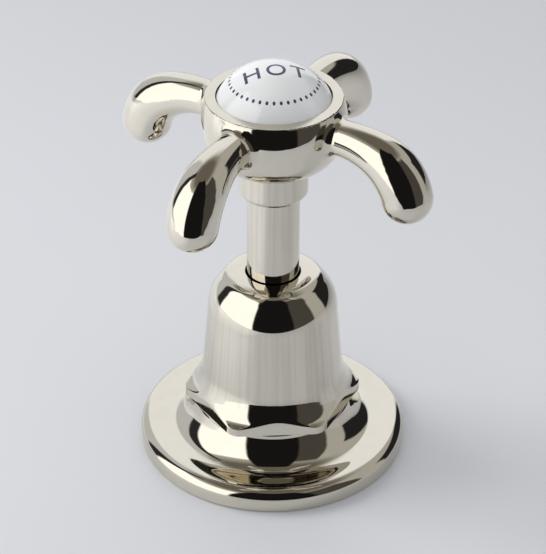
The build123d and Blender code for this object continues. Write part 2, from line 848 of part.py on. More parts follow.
with BuildPart() as body_seal:
    with BuildSketch(Plane.XZ):
        ring_profile(
            socket_radius + running_clearance,
            body_flange_radius - body_seal_margin,
            shank_top,
            flange_bottom,
        )
    revolve(axis=Axis.Z)
body_seal.part.label = "body_seal"
export_step(body_seal.part, "parts/body_seal.step")

# Threaded shank: the tube that passes through the deck and carries the headwork
with BuildPart() as threaded_shank:
    with BuildSketch(Plane.XZ):
        stepped_profile(
            (
                (shank_bore, shank_bottom),
                (shank_radius - thread_chamfer, shank_bottom),
                (shank_radius, shank_bottom + thread_chamfer),
                (shank_radius, shank_top - thread_chamfer),
                (shank_radius - thread_chamfer, shank_top),
                (socket_radius, shank_top),
                (socket_radius, socket_bottom),
                (shank_bore, socket_bottom),
            )
        )
    revolve(axis=Axis.Z)
threaded_shank.part.label = "threaded_shank"
export_step(threaded_shank.part, "parts/threaded_shank.step")

# Riser tube: brings the water from the inlet up to the headwork's seat
riser_bore = riser_radius - riser_wall
riser_seat_radius = riser_radius + riser_seat_overhang
riser_bottom = tee_bottom + lap_gap
riser_groove = riser_radius - riser_seal_groove_depth
riser_seal_level = riser_bottom + riser_seal_margin
with BuildPart() as riser_tube:
    with BuildSketch(Plane.XZ):
        stepped_profile(
            (
                (riser_bore, riser_bottom),
                (riser_radius, riser_bottom),
                (riser_radius, riser_seal_level - riser_seal_groove_width / 2),
                (riser_groove, riser_seal_level - riser_seal_groove_width / 2),
                (riser_groove, riser_seal_level + riser_seal_groove_width / 2),
                (riser_radius, riser_seal_level + riser_seal_groove_width / 2),
                (riser_radius, seat_level - riser_seat_height - riser_seat_overhang),
                (riser_seat_radius, seat_level - riser_seat_height),
                (riser_seat_radius, seat_level),
                (riser_bore, seat_level),
            )
        )
    revolve(axis=Axis.Z)
riser_tube.part.label = "riser_tube"
export_step(riser_tube.part, "parts/riser_tube.step")

riser_socket = riser_radius + running_clearance
riser_band = riser_socket - riser_groove
with BuildPart() as riser_seal:
    with BuildSketch(Plane.XZ):
        with Locations((riser_groove + riser_band / 2, riser_seal_level)):
            Circle(riser_band / 2 - ring_squeeze)
    revolve(axis=Axis.Z)
riser_seal.part.label = "riser_seal"
export_step(riser_seal.part, "parts/riser_seal.step")

# Valve body: the tee below the deck, with the inlet below and the outlet at its side
inlet_end = tee_bottom - pipe_thread_length
outlet_level = shank_bottom - chamber_height / 2
outlet_shoulder = tee_radius + outlet_boss_reach
outlet_end = outlet_shoulder + pipe_thread_length
tee_socket = shank_radius + thread_clearance
with BuildPart() as valve_body:
    with BuildSketch(Plane.XZ):
        stepped_profile(
            (
                (0, inlet_end),
                (pipe_thread_radius - thread_chamfer, inlet_end),
                (pipe_thread_radius, inlet_end + thread_chamfer),
                (pipe_thread_radius, tee_bottom),
                (tee_radius, tee_bottom),
                (tee_radius, tee_top),
                (0, tee_top),
            )
        )
    revolve(axis=Axis.Z)
    flat_reach = tee_radius - spanner_flat_depth
    with BuildSketch(Plane.XY.offset(tee_top)):
        Circle(2 * tee_radius)
        Rectangle(4 * tee_radius, 2 * flat_reach, mode=Mode.SUBTRACT)
    extrude(amount=-spanner_flat_height, mode=Mode.SUBTRACT)
    outlet_plane = Plane(origin=(0, 0, outlet_level), x_dir=(0, 1, 0), z_dir=(1, 0, 0))
    with BuildSketch(outlet_plane):
        Circle(outlet_boss_radius)
    extrude(amount=outlet_shoulder)
    with BuildSketch(outlet_plane):
        Circle(pipe_thread_radius)
    extrude(amount=outlet_end)
    chamfer(valve_body.edges().sort_by(Axis.X)[-1], thread_chamfer)
    with BuildSketch(Plane.XZ):
        stepped_profile(
            (
                (0, inlet_end),
                (inlet_bore_radius, inlet_end),
                (inlet_bore_radius, tee_bottom),
                (riser_socket, tee_bottom),
                (riser_socket, chamber_bottom),
                (shank_bore, chamber_bottom),
                (shank_bore, shank_bottom),
                (tee_socket, shank_bottom),
                (tee_socket, tee_top),
                (0, tee_top),
            )
        )
    revolve(axis=Axis.Z, mode=Mode.SUBTRACT)
    with BuildSketch(outlet_plane.offset(riser_socket)):
        Circle(outlet_bore_radius)
    extrude(amount=outlet_end, mode=Mode.SUBTRACT)
valve_body.part.label = "valve_body"
export_step(valve_body.part, "parts/valve_body.step")

# Clamp below the deck: rubber washer, metal washer and nut
washer_bore = shank_radius + loose_clearance
under_washer_bottom = -deck_thickness - under_washer_thickness
with BuildPart() as under_deck_washer:
    with BuildSketch(Plane.XY.offset(under_washer_bottom)):
        Circle(washer_bore + under_washer_width)
        Circle(washer_bore, mode=Mode.SUBTRACT)
    extrude(amount=under_washer_thickness)
under_deck_washer.part.label = "under_deck_washer"
export_step(under_deck_washer.part, "parts/under_deck_washer.step")

clamp_washer_bottom = under_washer_bottom - clamp_washer_thickness
with BuildPart() as clamp_washer:
    with BuildSketch(Plane.XY.offset(clamp_washer_bottom)):
        Circle(washer_bore + clamp_washer_width)
        Circle(washer_bore, mode=Mode.SUBTRACT)
    extrude(amount=clamp_washer_thickness)
    fillet(clamp_washer.edges().filter_by(GeomType.CIRCLE).sort_by(SortBy.RADIUS)[-2:], edge_round)
clamp_washer.part.label = "clamp_washer"
export_step(clamp_washer.part, "parts/clamp_washer.step")

nut_corner = back_nut_across_flats / 2 / cos(radians(30))
nut_bottom = clamp_washer_bottom - back_nut_height
with BuildPart() as back_nut:
    with BuildSketch(Plane.XZ):
        stepped_profile(
            (
                (shank_radius + thread_clearance, nut_bottom),
                (nut_corner - 2 * back_nut_chamfer, nut_bottom),
                (nut_corner, nut_bottom + back_nut_chamfer),
                (nut_corner, clamp_washer_bottom),
                (shank_radius + thread_clearance, clamp_washer_bottom),
            )
        )
    revolve(axis=Axis.Z)
    with BuildSketch(Plane.XY.offset(nut_bottom)):
        RegularPolygon(back_nut_across_flats / 2, 6, major_radius=False)
    extrude(amount=back_nut_height, mode=Mode.INTERSECT)
back_nut.part.label = "back_nut"
export_step(back_nut.part, "parts/back_nut.step")
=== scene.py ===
"""Looks of a deck-mounted basin side valve.

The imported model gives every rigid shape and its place. This file adds the finishes, the softer
forms of the bell and the flange, the legend on the porcelain, the threads below the deck, the
floor, the lights and the camera.
All lengths are in metres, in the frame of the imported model: the origin is on the deck's top face,
+Z points up along the spindle and a person at the basin stands on the -Y side.
"""

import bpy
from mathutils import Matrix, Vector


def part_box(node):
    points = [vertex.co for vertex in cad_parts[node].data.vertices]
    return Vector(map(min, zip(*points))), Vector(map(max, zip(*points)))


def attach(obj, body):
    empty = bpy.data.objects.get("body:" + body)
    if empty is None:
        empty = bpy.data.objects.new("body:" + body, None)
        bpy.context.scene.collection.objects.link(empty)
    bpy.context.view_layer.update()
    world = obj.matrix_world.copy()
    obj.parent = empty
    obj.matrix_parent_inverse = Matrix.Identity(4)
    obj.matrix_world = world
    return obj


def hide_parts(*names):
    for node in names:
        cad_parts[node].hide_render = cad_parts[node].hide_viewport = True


bl_info = {
    "name": "Basin side valve",
    "version": (1, 0, 0),
    "blender": (4, 5, 0),
    "location": "View3D > Sidebar > Side valve",
    "description": "Finishes, bell, flange, legend, threads and studio for a basin side valve",
    "category": "Object",
}

from math import atan2, ceil, cos, pi, radians, sin, sqrt, tan

import bmesh
import bpy
from bpy.props import (
    FloatProperty,
    FloatVectorProperty,
    IntProperty,
    PointerProperty,
    StringProperty,
)
from bpy.types import Operator, Panel, PropertyGroup
from mathutils import Euler, Matrix, Vector
from mathutils.geometry import interpolate_bezier

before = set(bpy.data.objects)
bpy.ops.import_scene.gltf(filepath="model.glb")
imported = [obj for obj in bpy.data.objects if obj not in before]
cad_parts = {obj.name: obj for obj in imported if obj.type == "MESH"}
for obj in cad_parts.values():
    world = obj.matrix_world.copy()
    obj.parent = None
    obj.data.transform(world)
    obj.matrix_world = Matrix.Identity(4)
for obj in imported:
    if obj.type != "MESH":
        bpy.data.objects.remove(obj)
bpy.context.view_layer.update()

# Small sizes of the bell and the flange, in metres
edge_round = 0.0003
shank_gap = 0.0003
bell_bore_gap = 0.0001
rim_width = 0.0028
ledge_rise = 0.0006
hole_wall_extra = 0.0004
shoulder_wall_drop = 0.0012

# Heights of the upright streaks on the bell's cone, partly polishing and partly painted reflection of
# light and shade, and where those of the sleeve start
cone_stretch = (0.018, 0.036)
sleeve_foot = (0.0442, 0.0446)

# Share of the way to the next place that a curve keeps its direction, and the angle of a sharp edge
curve_reach = 0.36
sharp_edge = radians(35)

# Sizes of the print on the porcelain
cap_share = 0.73
letter_spacing = 1.3
letter_swell = 0.006
print_grid = 0.0003

# Colours of the tarnish on the brass and the dust on the rubber
tarnish_colour = (0.5, 0.33, 0.15)
dust_colour = (0.07, 0.068, 0.064)

# The mirrored room, the floor and the lamp
room_radius = 3.0
floor_reach = 4.0
floor_level = -0.00002
lamp_place = (-0.62, 0.2, 0.5)
lamp_width = 0.4

# Width of the camera's sensor in millimetres
sensor_width = 36.0

# Patches of the mirrored room: azimuth, height and soft edge in degrees, and colour
mirrored_patches = (
    (-150.0, -112.0, -30.0, 55.0, 4.0, (0.62, 0.64, 0.66)),
    (-112.0, -36.0, -30.0, 50.0, 4.0, (1.5, 1.5, 1.48)),
    (-118.0, -106.0, 2.0, 62.0, 4.0, (0.03, 0.03, 0.03)),
    (36.0, 72.0, -30.0, 55.0, 5.0, (0.075, 0.07, 0.06)),
    (-32.0, 34.0, -30.0, 72.0, 3.5, (0.01, 0.01, 0.01)),
    (104.0, 148.0, -30.0, 31.0, 4.0, (0.02, 0.02, 0.022)),
)
ceiling_colour = (0.16, 0.145, 0.12)
wall_colour = (0.5, 0.49, 0.46)
back_wall_colour = (1.04, 1.06, 1.09)


def metres(name, description, default):
    """Setting for a length."""
    return FloatProperty(name=name, description=description, default=default, unit="LENGTH")


def metre_row(name, description, default):
    """Setting for a row of lengths."""
    return FloatVectorProperty(
        name=name, description=description, default=default, size=len(default), unit="LENGTH"
    )


def slant(name, description, default):
    """Setting for an angle."""
    return FloatProperty(name=name, description=description, default=default, subtype="ANGLE")


def tint(name, description, default):
    """Setting for a colour."""
    return FloatVectorProperty(
        name=name, description=description, default=default, size=3, subtype="COLOR"
    )


def number(name, description, default):
    """Setting for a share or a strength."""
    return FloatProperty(name=name, description=description, default=default)


def whole_number(name, description, default):
    """Setting for a count."""
    return IntProperty(name=name, description=description, default=default)


class FinishSettings(PropertyGroup):
    """Colours of the valve's own materials."""

    nickel: tint("Nickel", "Colour of the polished nickel plate", (0.71, 0.668, 0.58))
    porcelain: tint("Porcelain", "Colour of the white glaze on the index", (0.86, 0.86, 0.85))
    legend: tint("Legend", "Colour of the legend fired on the index", (0.05, 0.052, 0.1))
    brass: tint("Brass", "Colour of the machined brass", (0.72, 0.52, 0.24))
    steel: tint("Steel", "Colour of the stainless screw, washer and circlip", (0.56, 0.56, 0.56))
    rubber: tint("Rubber", "Colour of the seals", (0.022, 0.022, 0.023))
    disc: tint("Disc ceramic", "Colour of the two lapped discs", (0.82, 0.8, 0.74))
    acetal: tint("Acetal", "Colour of the thrust washer", (0.78, 0.78, 0.75))


class FlangeSettings(PropertyGroup):
    """Sizes of the turned deck flange."""

    seat_radius: metres("Seat radius", "Radius at which the bell's seat ends", 0.0171)
    seat_height: metres("Seat height", "Height of the bell's seat above the deck", 0.0115)
    cove_radii: metre_row(
        "Cove radii", "Radii of four places down the hollow cove", (0.01755, 0.0189, 0.021, 0.0231)
    )
    cove_heights: metre_row(
        "Cove heights", "Heights of the same four places", (0.0104, 0.00774, 0.0056, 0.00485)
    )
    crest_radius: metres("Crest radius", "Radius at which the rounding of the rim starts", 0.0274)
    crest_height: metres("Crest height", "Height of the rim above the deck", 0.0049)
    rim_side: metres(
        "Rim side", "Height at which the rounding of the rim ends in its straight side", 0.0027
    )
    wall: metres("Wall", "Thickness of the flange", 0.0022)
    segments: whole_number("Segments", "Number of flat steps round the flange", 192)


class BellSettings(PropertyGroup):
    """Sizes of the bell cover with its soft hexagon skirt."""

    flare_radii: metre_row(
        "Flare radii",
        "Radii of four places from the skirt's lip up to the foot of the cone",
        (0.0199, 0.0179, 0.0165, 0.01572),
    )
    flare_levels: metre_row(
        "Flare levels",
        "Heights of the same four places above the flange's seat",
        (0.0019, 0.003, 0.0056, 0.0085),
    )
    across_flats: metres("Across flats", "Distance between two opposite flats of the skirt", 0.0353)
    flat_lean: slant("Flat lean", "Angle by which each flat leans inwards", radians(4.0))
    turn: slant("Turn", "Angle by which the hexagon is turned about the spindle", radians(3.8))
    corner_round: metres("Corner rounding", "Radius of the rounded corners between two flats", 0.0034)
    edge_blend: metres("Edge blend", "Width over which flare and flat run into each other", 0.0005)
    shoulder_places: metre_row(
        "Shoulder places",
        "Radii of six places from the shoulder's foot to the hole in its top",
        (0.01445, 0.0142, 0.01345, 0.0117, 0.01, 0.00618),
    )
    shoulder_levels: metre_row(
        "Shoulder levels",
        "Depths of the same six places below the bell's top",
        (0.0095, 0.007, 0.0048, 0.00223, 0.00068, 0.0),
    )
    wall: metres("Wall", "Thickness of the bell", 0.0017)
    segments: whole_number("Segments", "Number of steps round the bell", 288)


class LegendSettings(PropertyGroup):
    """Sizes of the legend on the porcelain index."""

    word: StringProperty(
        name="Word",
        description="Word in the middle of the index",
        default="HOT",
    )
    letter_height: metres("Letter height", "Height of a capital letter", 0.004)
    word_drop: metres(
        "Word drop", "How far the middle of the word lies in front of the index's centre", 0.0014
    )
    turn: slant("Turn", "Anticlockwise turn of the legend, seen from above", radians(9.0))
    ring_radius: metres("Ring radius", "Radius of the ring of dots", 0.0094)
    dot_radius: metres("Dot radius", "Radius of one dot of the ring", 0.00032)
    dot_count: whole_number("Dots", "Number of dots in the ring", 40)
    glaze_height: metres("Glaze height", "How far the legend stands out of the white glaze", 0.00002)
    dome_rise: metres("Dome rise", "Height of the dome above the index's straight wall", 0.0074)


class ThreadSettings(PropertyGroup):
    """Sizes and places of the threads below the deck."""

    shank_radius: metres("Shank radius", "Radius of the shank that the thread stands on", 0.014)
    shank_pitch: metres("Shank pitch", "Pitch of the shank's thread", 0.0015)
    shank_face: metres(
        "Shank face", "Height at which the shank's thread ends, just below the deck's top face", -0.0005
    )
    pipe_radius: metres("Pipe radius", "Radius of the inlet and the outlet", 0.01048)
    pipe_pitch: metres("Pipe pitch", "Pitch of the inlet and outlet threads", 0.001814)
    inlet_shoulder: metres("Inlet shoulder", "Height at which the inlet's thread meets the tee", -0.079)
    outlet_shoulder: metres(
        "Outlet shoulder",
        "Distance from the spindle's axis at which the outlet's thread meets the tee",
        0.0183,
    )
    outlet_level: metres("Outlet level", "Height of the outlet's axis", -0.066)
    end_bare: metres("Bare end", "Chamfered end of a pipe that has no thread", 0.0008)
    height_share: number("Height share", "How far a thread stands out, as a share of its pitch", 0.11)
    width_share: number("Width share", "Width of a thread at its foot, as a share of its pitch", 0.86)
    runout: number("Run-out", "Turns over which a thread rises at its ends", 0.6)
    steps: whole_number("Steps", "Straight pieces in one turn of a thread", 48)


class StudioSettings(PropertyGroup):
    """The camera, the floor and the lights."""

    camera_distance: metres(
        "Camera distance", "Distance from the camera to the point that it looks at", 0.4997
    )
    camera_elevation: slant("Camera elevation", "Angle of the camera above the deck", radians(33.74))
    camera_roll: slant("Camera roll", "Turn of the camera about its own axis", radians(0.35))
    aim_height: metres("Aim height", "Height of the point that the camera looks at", 0.0421)
    focal_length: number("Focal length", "Lens of the camera in millimetres, on a 36 mm sensor", 147.5)
    floor: tint("Floor", "Colour of the plain floor", (0.71, 0.72, 0.745))
    background: tint(
        "Background", "Colour of the plain background and of the even light", (0.8, 0.81, 0.83)
    )
    even_strength: number("Even light", "Strength of the even light from all sides", 0.86)
    top_edge: metres("Deck edge", "Distance in front of the valve at which the mirrored deck ends", 0.19)
    lamp_power: number("Lamp power", "Power of the large soft lamp on the left, in watts", 3.0)


class Wire:
    """An output of a node. Python's operators on it add Math nodes."""

    def __init__(self, board, socket):
        self.board = board
        self.socket = socket

    def output(self, name):
        """Another output of the same node."""
        return Wire(self.board, self.socket.node.outputs[name])

    def __add__(self, other):
        return self.board.maths("ADD", self, other)

    def __radd__(self, other):
        return self.board.maths("ADD", other, self)

    def __sub__(self, other):
        return self.board.maths("SUBTRACT", self, other)

    def __rsub__(self, other):
        return self.board.maths("SUBTRACT", other, self)

    def __mul__(self, other):
        return self.board.maths("MULTIPLY", self, other)

    def __rmul__(self, other):
        return self.board.maths("MULTIPLY", other, self)

    def __truediv__(self, other):
        return self.board.maths("DIVIDE", self, other)

    def __neg__(self):
        return self.board.maths("MULTIPLY", self, -1.0)

    def __abs__(self):
        return self.board.maths("ABSOLUTE", self)


class Board:
    """A node tree that is filled by short Python expressions."""

    def __init__(self, tree):
        self.tree = tree
        tree.nodes.clear()

    def node(self, kind, settings=None, sockets=None):
        """Add a node: its settings first, then its socket values or links."""
        made = self.tree.nodes.new(kind)
        for name, value in (settings or {}).items():
            setattr(made, name, value)
        for name, value in (sockets or {}).items():
            target = made.inputs[name]
            if isinstance(value, Wire):
                self.tree.links.new(value.socket, target)
            else:
                target.default_value = value
        return Wire(self, made.outputs[0]) if made.outputs else made

    def maths(self, operation, *values):
        """A Math node on wires or numbers."""
        sockets = dict(enumerate(values))
        return self.node("ShaderNodeMath", {"operation": operation}, sockets)

    def ramp(self, value, low, high):
        """Smooth step from 0 at low to 1 at high."""
        sockets = {"Value": value, "From Min": low, "From Max": high}
        return self.node("ShaderNodeMapRange", {"interpolation_type": "SMOOTHSTEP"}, sockets)

    def span(self, value, low, high, soft):
        """1 between low and high, falling to 0 over a soft edge outside them."""
        return self.ramp(value, low - soft, low) * (1.0 - self.ramp(value, high, high + soft))

    def blend(self, mask, first, second):
        """Colour that goes from first to second with a mask."""
        sockets = {0: mask, 6: first, 7: second}
        mixed = self.node("ShaderNodeMix", {"data_type": "RGBA"}, sockets)
        return Wire(self, mixed.socket.node.outputs[2])

    def axes(self, vector):
        """The three coordinates of a vector."""
        split = self.node("ShaderNodeSeparateXYZ", None, {0: vector})
        return split, split.output("Y"), split.output("Z")

    def vector(self, x, y, z):
        """A vector from three wires or numbers."""
        return self.node("ShaderNodeCombineXYZ", None, {"X": x, "Y": y, "Z": z})

    def place(self):
        """Object coordinates, in metres."""
        return self.node("ShaderNodeTexCoord").output("Object")

    def noise(self, vector, scale, detail=2.0):
        """Noise from 0 to 1 with a scale in features per metre."""
        sockets = {"Vector": vector, "Scale": scale, "Detail": detail}
        return self.node("ShaderNodeTexNoise", None, sockets)

    def bump(self, height, distance, below=None):
        """Normal of a bumped surface. The height runs from 0 to 1 and the distance is in metres."""
        sockets = {"Height": height, "Distance": distance, "Strength": 1.0}
        if below is not None:
            sockets["Normal"] = below
        return self.node("ShaderNodeBump", None, sockets)


def rgba(colour, share=1.0):
    """A share of a colour with full opacity, as sockets want it."""
    return (*(part * share for part in colour), 1.0)


def new_surface(name):
    """A material and its empty board."""
    material = bpy.data.materials.new(name)
    material.use_nodes = True
    return material, Board(material.node_tree)


def finish_surface(board, **sockets):
    """Close a material with one Principled shader."""
    named = {key.replace("_", " ").title(): value for key, value in sockets.items()}
    shader = board.node("ShaderNodeBsdfPrincipled", None, named)
    board.node("ShaderNodeOutputMaterial", None, {"Surface": shader})


def nickel_shade(board, place, scale, nickel):
    """Nickel that is a little darker where it is smeared, and the smear."""
    smear = board.noise(place, scale, 3.0)
    return board.blend(board.ramp(smear, 0.35, 0.7) * 0.5, rgba(nickel), rgba(nickel, 0.95)), smear


def cast_nickel(settings):
    """Nickel on a hand-polished casting, which waves a little."""
    material, board = new_surface("cast_nickel")
    place = board.place()
    wave = board.noise(place, 70.0, 1.0)
    shade, smear = nickel_shade(board, place, 260.0, settings.nickel)
    finish_surface(
        board,
        base_color=shade,
        metallic=1.0,
        roughness=0.035 + 0.03 * board.ramp(smear, 0.45, 0.75),
        normal=board.bump(wave, 0.00005),
    )
    return material


def turned_nickel(settings):
    """Nickel on turned brass, with the fine lines of its polishing along the axis, and darker upright
    streaks on the cone and the sleeve that are partly polishing and partly painted reflection.
    """
    material, board = new_surface("turned_nickel")
    place = board.place()
    x, y, z = board.axes(place)
    turn = board.maths("ARCTAN2", y, x)
    line = board.noise(board.vector(turn * 12.0, z * 18.0, 0.0), 4.0, 4.0)
    wave = board.noise(place, 55.0, 1.0)
    shade = nickel_shade(board, place, 220.0, settings.nickel)[0]
    # Upright streaks painted darker on the cone and the sleeve: partly real polishing, partly painted
    # reflection of bands of light and shade
    grain = board.vector(turn * 7.0, z * 9.0, 3.0)
    upright = board.span(z, *cone_stretch, 0.002) + board.ramp(z, *sleeve_foot)
    streak_and_painted_reflection = board.ramp(board.noise(grain, 2.6, 4.0), 0.4, 0.64) * upright
    shade = board.blend(streak_and_painted_reflection * 0.6, shade, rgba(settings.nickel, 0.84))
    finish_surface(
        board,
        base_color=shade,
        metallic=1.0,
        roughness=0.03 + 0.04 * board.ramp(line, 0.4, 0.7),
        normal=board.bump(line, 0.0000015, board.bump(wave, 0.00002)),
    )
    return material


def glazed_porcelain(settings):
    """White glaze with a faint unevenness in its tone and surface."""
    material, board = new_surface("glazed_porcelain")
    place = board.place()
    tone = board.noise(place, 90.0, 3.0)
    peel = board.noise(place, 700.0, 2.0)
    white = settings.porcelain
    shade = board.blend(board.ramp(tone, 0.3, 0.75), rgba(white), rgba(white, 0.955))
    finish_surface(
        board,
        base_color=shade,
        roughness=0.1 + 0.05 * tone,
        coat_weight=0.6,
        coat_roughness=0.06,
        normal=board.bump(peel, 0.000004),
    )
    return material


def legend_glaze(settings):
    """Dark blue enamel that was fired on the white glaze."""
    material, board = new_surface("legend_glaze")
    speck = board.noise(board.place(), 2600.0, 2.0)
    blue = settings.legend
    shade = board.blend(board.ramp(speck, 0.45, 0.7), rgba(blue), rgba(blue, 1.9))
    finish_surface(board, base_color=shade, roughness=0.22 + 0.1 * speck)
    return material


def machined_brass(settings):
    """Brass with turning marks round its axis and a light tarnish."""
    material, board = new_surface("machined_brass")
    place = board.place()
    x, y, z = board.axes(place)
    radius = board.maths("SQRT", x * x + y * y)
    mark = board.noise(board.vector(radius * 900.0, z * 900.0, 0.0), 4.0, 3.0)
    tarnish = board.noise(place, 110.0, 4.0)
    shade = board.blend(board.ramp(tarnish, 0.4, 0.75), rgba(settings.brass), rgba(tarnish_colour))
    finish_surface(
        board,
        base_color=shade,
        metallic=1.0,
        roughness=0.24 + 0.16 * board.ramp(tarnish, 0.3, 0.8),
        normal=board.bump(mark, 0.000006),
    )
    return material


def stainless_steel(settings):
    """Bright steel with faint turning marks."""
    material, board = new_surface("stainless_steel")
    place = board.place()
    height = board.axes(place)[2]
    mark = board.noise(board.vector(0.0, 0.0, height * 1200.0), 3.0, 2.0)
    blotch = board.noise(place, 300.0, 3.0)
    shade = board.blend(blotch, rgba(settings.steel), rgba(settings.steel, 0.86))
    finish_surface(
        board,
        base_color=shade,
        metallic=1.0,
        roughness=0.22 + 0.12 * blotch,
        normal=board.bump(mark, 0.000004),
    )
    return material


def moulded_rubber(settings):
    """Matt black rubber with a fine grain and a trace of dust."""
    material, board = new_surface("moulded_rubber")
    place = board.place()
    grain = board.noise(place, 3200.0, 2.0)
    dust = board.noise(place, 190.0, 4.0)
    shade = board.blend(board.ramp(dust, 0.5, 0.85) * 0.6, rgba(settings.rubber), rgba(dust_colour))
    finish_surface(
        board,
        base_color=shade,
        roughness=0.62 + 0.2 * dust,
        normal=board.bump(grain, 0.00001),
    )
    return material


def lapped_ceramic(settings):
    """Dense ceramic, lapped to a soft shine."""
    material, board = new_surface("lapped_ceramic")
    place = board.place()
    grain = board.noise(place, 1500.0, 3.0)
    shade = board.blend(grain, rgba(settings.disc), rgba(settings.disc, 0.93))
    finish_surface(
        board,
        base_color=shade,
        roughness=0.25 + 0.1 * grain,
        normal=board.bump(grain, 0.000002),
    )
    return material


def turned_acetal(settings):
    """White engineering plastic with turning marks."""
    material, board = new_surface("turned_acetal")
    x, y = board.axes(board.place())[:2]
    radius = board.maths("SQRT", x * x + y * y)
    mark = board.noise(board.vector(radius * 1500.0, 0.0, 0.0), 3.0)
    shade = board.blend(mark, rgba(settings.acetal), rgba(settings.acetal, 0.94))
    finish_surface(
        board,
        base_color=shade,
        roughness=0.4 + 0.12 * mark,
        normal=board.bump(mark, 0.000006),
    )
    return material


def dress(names, material):
    """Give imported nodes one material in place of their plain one."""
    for name in names:
        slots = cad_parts[name].data.materials
        slots.clear()
        slots.append(material)


def new_piece(name, mesh, material):
    """Put a finished mesh in the scene with one material."""
    mesh.materials.clear()
    mesh.materials.append(material)
    mesh.polygons.foreach_set("material_index", [0] * len(mesh.polygons))
    piece = bpy.data.objects.new(name, mesh)
    bpy.context.scene.collection.objects.link(piece)
    return piece


def smooth_line(places, leave, arrive, steps):
    """Points on a smooth curve through the places, with the angles at which it leaves and arrives."""
    ways = [Vector((cos(leave), sin(leave)))]
    for before, after in zip(places, places[2:]):
        ways.append((after - before).normalized())
    ways.append(Vector((cos(arrive), sin(arrive))))
    line = [places[0]]
    for index in range(len(places) - 1):
        start = places[index]
        end = places[index + 1]
        reach = (end - start).length * curve_reach
        line += interpolate_bezier(
            start,
            start + ways[index] * reach,
            end - ways[index + 1] * reach,
            end,
            steps,
        )[1:]
    return line


def flange_outline(settings):
    """Closed outline of the flange's section, as radius and height."""
    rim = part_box("deck_flange")[1].x
    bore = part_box("threaded_shank")[1].x + shank_gap
    edge = edge_round
    seat = Vector((settings.seat_radius, settings.seat_height))
    cove = [Vector(pair) for pair in zip(settings.cove_radii, settings.cove_heights)]
    crest = Vector((settings.crest_radius, settings.crest_height))
    side = Vector((rim, settings.rim_side))
    wall = settings.wall
    inner = rim - rim_width
    foot = cove[3].y - wall
    drop = radians(-80)
    level = radians(-1)
    edge_steps = 4
    cove_steps = 14
    rim_steps = 20
    line = [Vector((bore, seat.y))]
    line += smooth_line([seat, seat + Vector((edge, -edge))], 0.0, drop, edge_steps)
    line += smooth_line([line[-1]] + cove + [crest], drop, level, cove_steps)[1:]
    line += smooth_line([crest, side], level, radians(-90), rim_steps)[1:]
    line += [
        Vector((rim, edge)),
        Vector((rim - edge, 0.0)),
        Vector((inner, 0.0)),
        Vector((inner, foot)),
        Vector((cove[2].x - wall, foot)),
        Vector((cove[0].x - wall, seat.y - wall)),
        Vector((bore, seat.y - wall)),
    ]
    return line


def spun_piece(name, line, segments, material, bend=None):
    """Surface of revolution about Z with a closed outline. Bend may move each point of a ring."""
    work = bmesh.new()
    rings = []
    for index in range(segments):
        angle = 2 * pi * index / segments
        ring = []
        for place in line:
            radius = bend(angle, place) if bend else place.x
            ring.append(work.verts.new((radius * cos(angle), radius * sin(angle), place.y)))
        rings.append(ring)
    count = len(line)
    for near, far in zip(rings, rings[1:] + rings[:1]):
        for place in range(count):
            after = (place + 1) % count
            work.faces.new((near[place], near[after], far[after], far[place]))
    bmesh.ops.recalc_face_normals(work, faces=work.faces)
    mesh = bpy.data.meshes.new(name)
    work.to_mesh(mesh)
    work.free()
    mesh.shade_smooth()
    mesh.set_sharp_from_angle(angle=sharp_edge)
    return new_piece(name, mesh, material)


def bell_outline(settings, seat):
    """Closed outline of the bell's section before its skirt is cut, and how many points lie outside."""
    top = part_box("bell_cover")[1].z
    shank_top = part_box("threaded_shank")[1]
    bore = shank_top.x + bell_bore_gap
    ledge = shank_top.z + ledge_rise
    wall = settings.wall
    shoulder = [
        Vector((radius, top - depth))
        for radius, depth in zip(settings.shoulder_places, settings.shoulder_levels)
    ]
    flare = [
        Vector((radius, seat + level))
        for radius, level in zip(settings.flare_radii, settings.flare_levels)
    ]
    lip = flare[0]
    foot = flare[3]
    rise = shoulder[0] - foot
    taper = atan2(rise.y, rise.x)
    lip_steps = 8
    flare_steps = 22
    cone_steps = 12
    shoulder_steps = 20
    outside = [
        Vector((lip.x, seat + settings.flare_levels[0] * step / lip_steps)) for step in range(lip_steps)
    ]
    outside += smooth_line(flare, radians(165), taper, flare_steps)
    outside += [foot + rise * step / cone_steps for step in range(1, cone_steps)]
    outside += smooth_line(shoulder, taper, radians(180), shoulder_steps)
    inside = [
        Vector((shoulder[5].x, top - wall - hole_wall_extra)),
        Vector((shoulder[4].x - wall, top - wall - shoulder_wall_drop)),
        Vector((shoulder[2].x - wall, shoulder[2].y - wall)),
        Vector((bore - shank_gap, ledge)),
        Vector((bore, ledge)),
        Vector((bore, seat)),
    ]
    return outside + inside, len(outside)


def hexagon_reach(angle, settings):
    """Distance from the middle to the side of the soft hexagon, in one direction."""
    half = settings.across_flats / 2
    side = radians(60)
    away = abs((angle - pi / 2 - settings.turn + side / 2) % side - side / 2)
    if half * tan(away) <= (half - settings.corner_round) * tan(side / 2):
        return half / cos(away)
    centre = (half - settings.corner_round) / cos(side / 2)
    turn = side / 2 - away
    return centre * cos(turn) + sqrt(settings.corner_round**2 - (centre * sin(turn)) ** 2)


